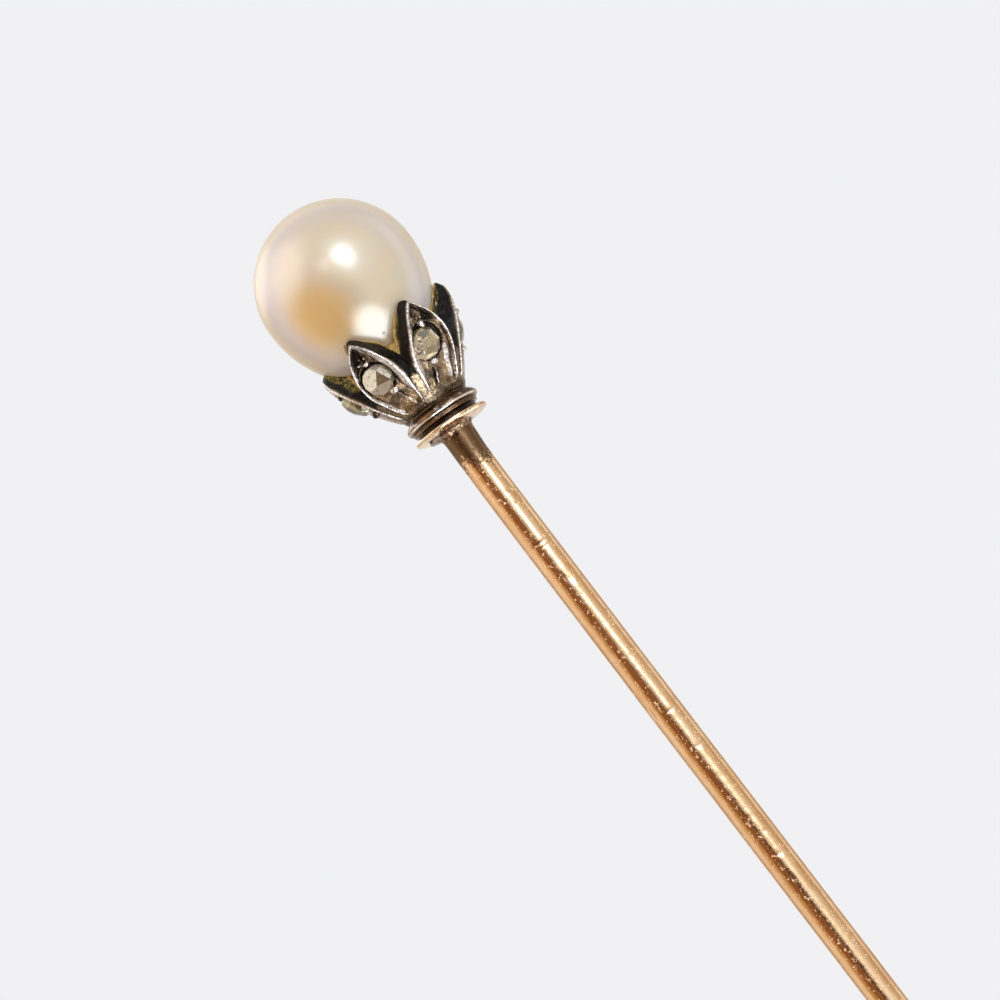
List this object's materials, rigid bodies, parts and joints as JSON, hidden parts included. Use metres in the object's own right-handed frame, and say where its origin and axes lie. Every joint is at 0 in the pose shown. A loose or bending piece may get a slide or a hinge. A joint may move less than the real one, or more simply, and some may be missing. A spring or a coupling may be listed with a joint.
{
  "type": "hat pin",
  "caption": "Straight pin with a round pointed wire stem, a thin disc, a grooved collar and an open calyx of stone-set petals that holds one drop-shaped pearl.",
  "frame": {"origin": "on the pin's axis at the top of the straight shank, just under the solder that joins it to the head", "axes": "+Z along the pin's axis, from the point towards the pearl; -Y faces the gap between two petals"},
  "size_m": [0.007, 0.007, 0.12],
  "materials": {
    "gold": "old rose-yellow gold, worn polish with brown tarnish",
    "solder": "pitted brown gold solder",
    "silver": "oxidised silver, bright only on the cut rims",
    "pearl": "nacre: cream with a pink and lavender overtone",
    "cement": "grainy yellow-green residue",
    "diamond": "polished facets, faintly yellow"
  },
  "bodies": {
    "root": {"collar": "silver", "diamond_1": "diamond", "diamond_2": "diamond", "diamond_3": "diamond", "diamond_4": "diamond", "diamond_5": "diamond", "diamond_6": "diamond", "inner_cup": "gold", "pearl": "pearl", "pearl_cement": "cement", "pearl_peg": "gold", "petal_1": "silver", "petal_2": "silver", "petal_3": "silver", "petal_4": "silver", "petal_5": "silver", "petal_6": "silver", "pin_stem": "gold", "stem_disc": "gold", "stem_solder": "solder"}
  },
  "joints": []
}
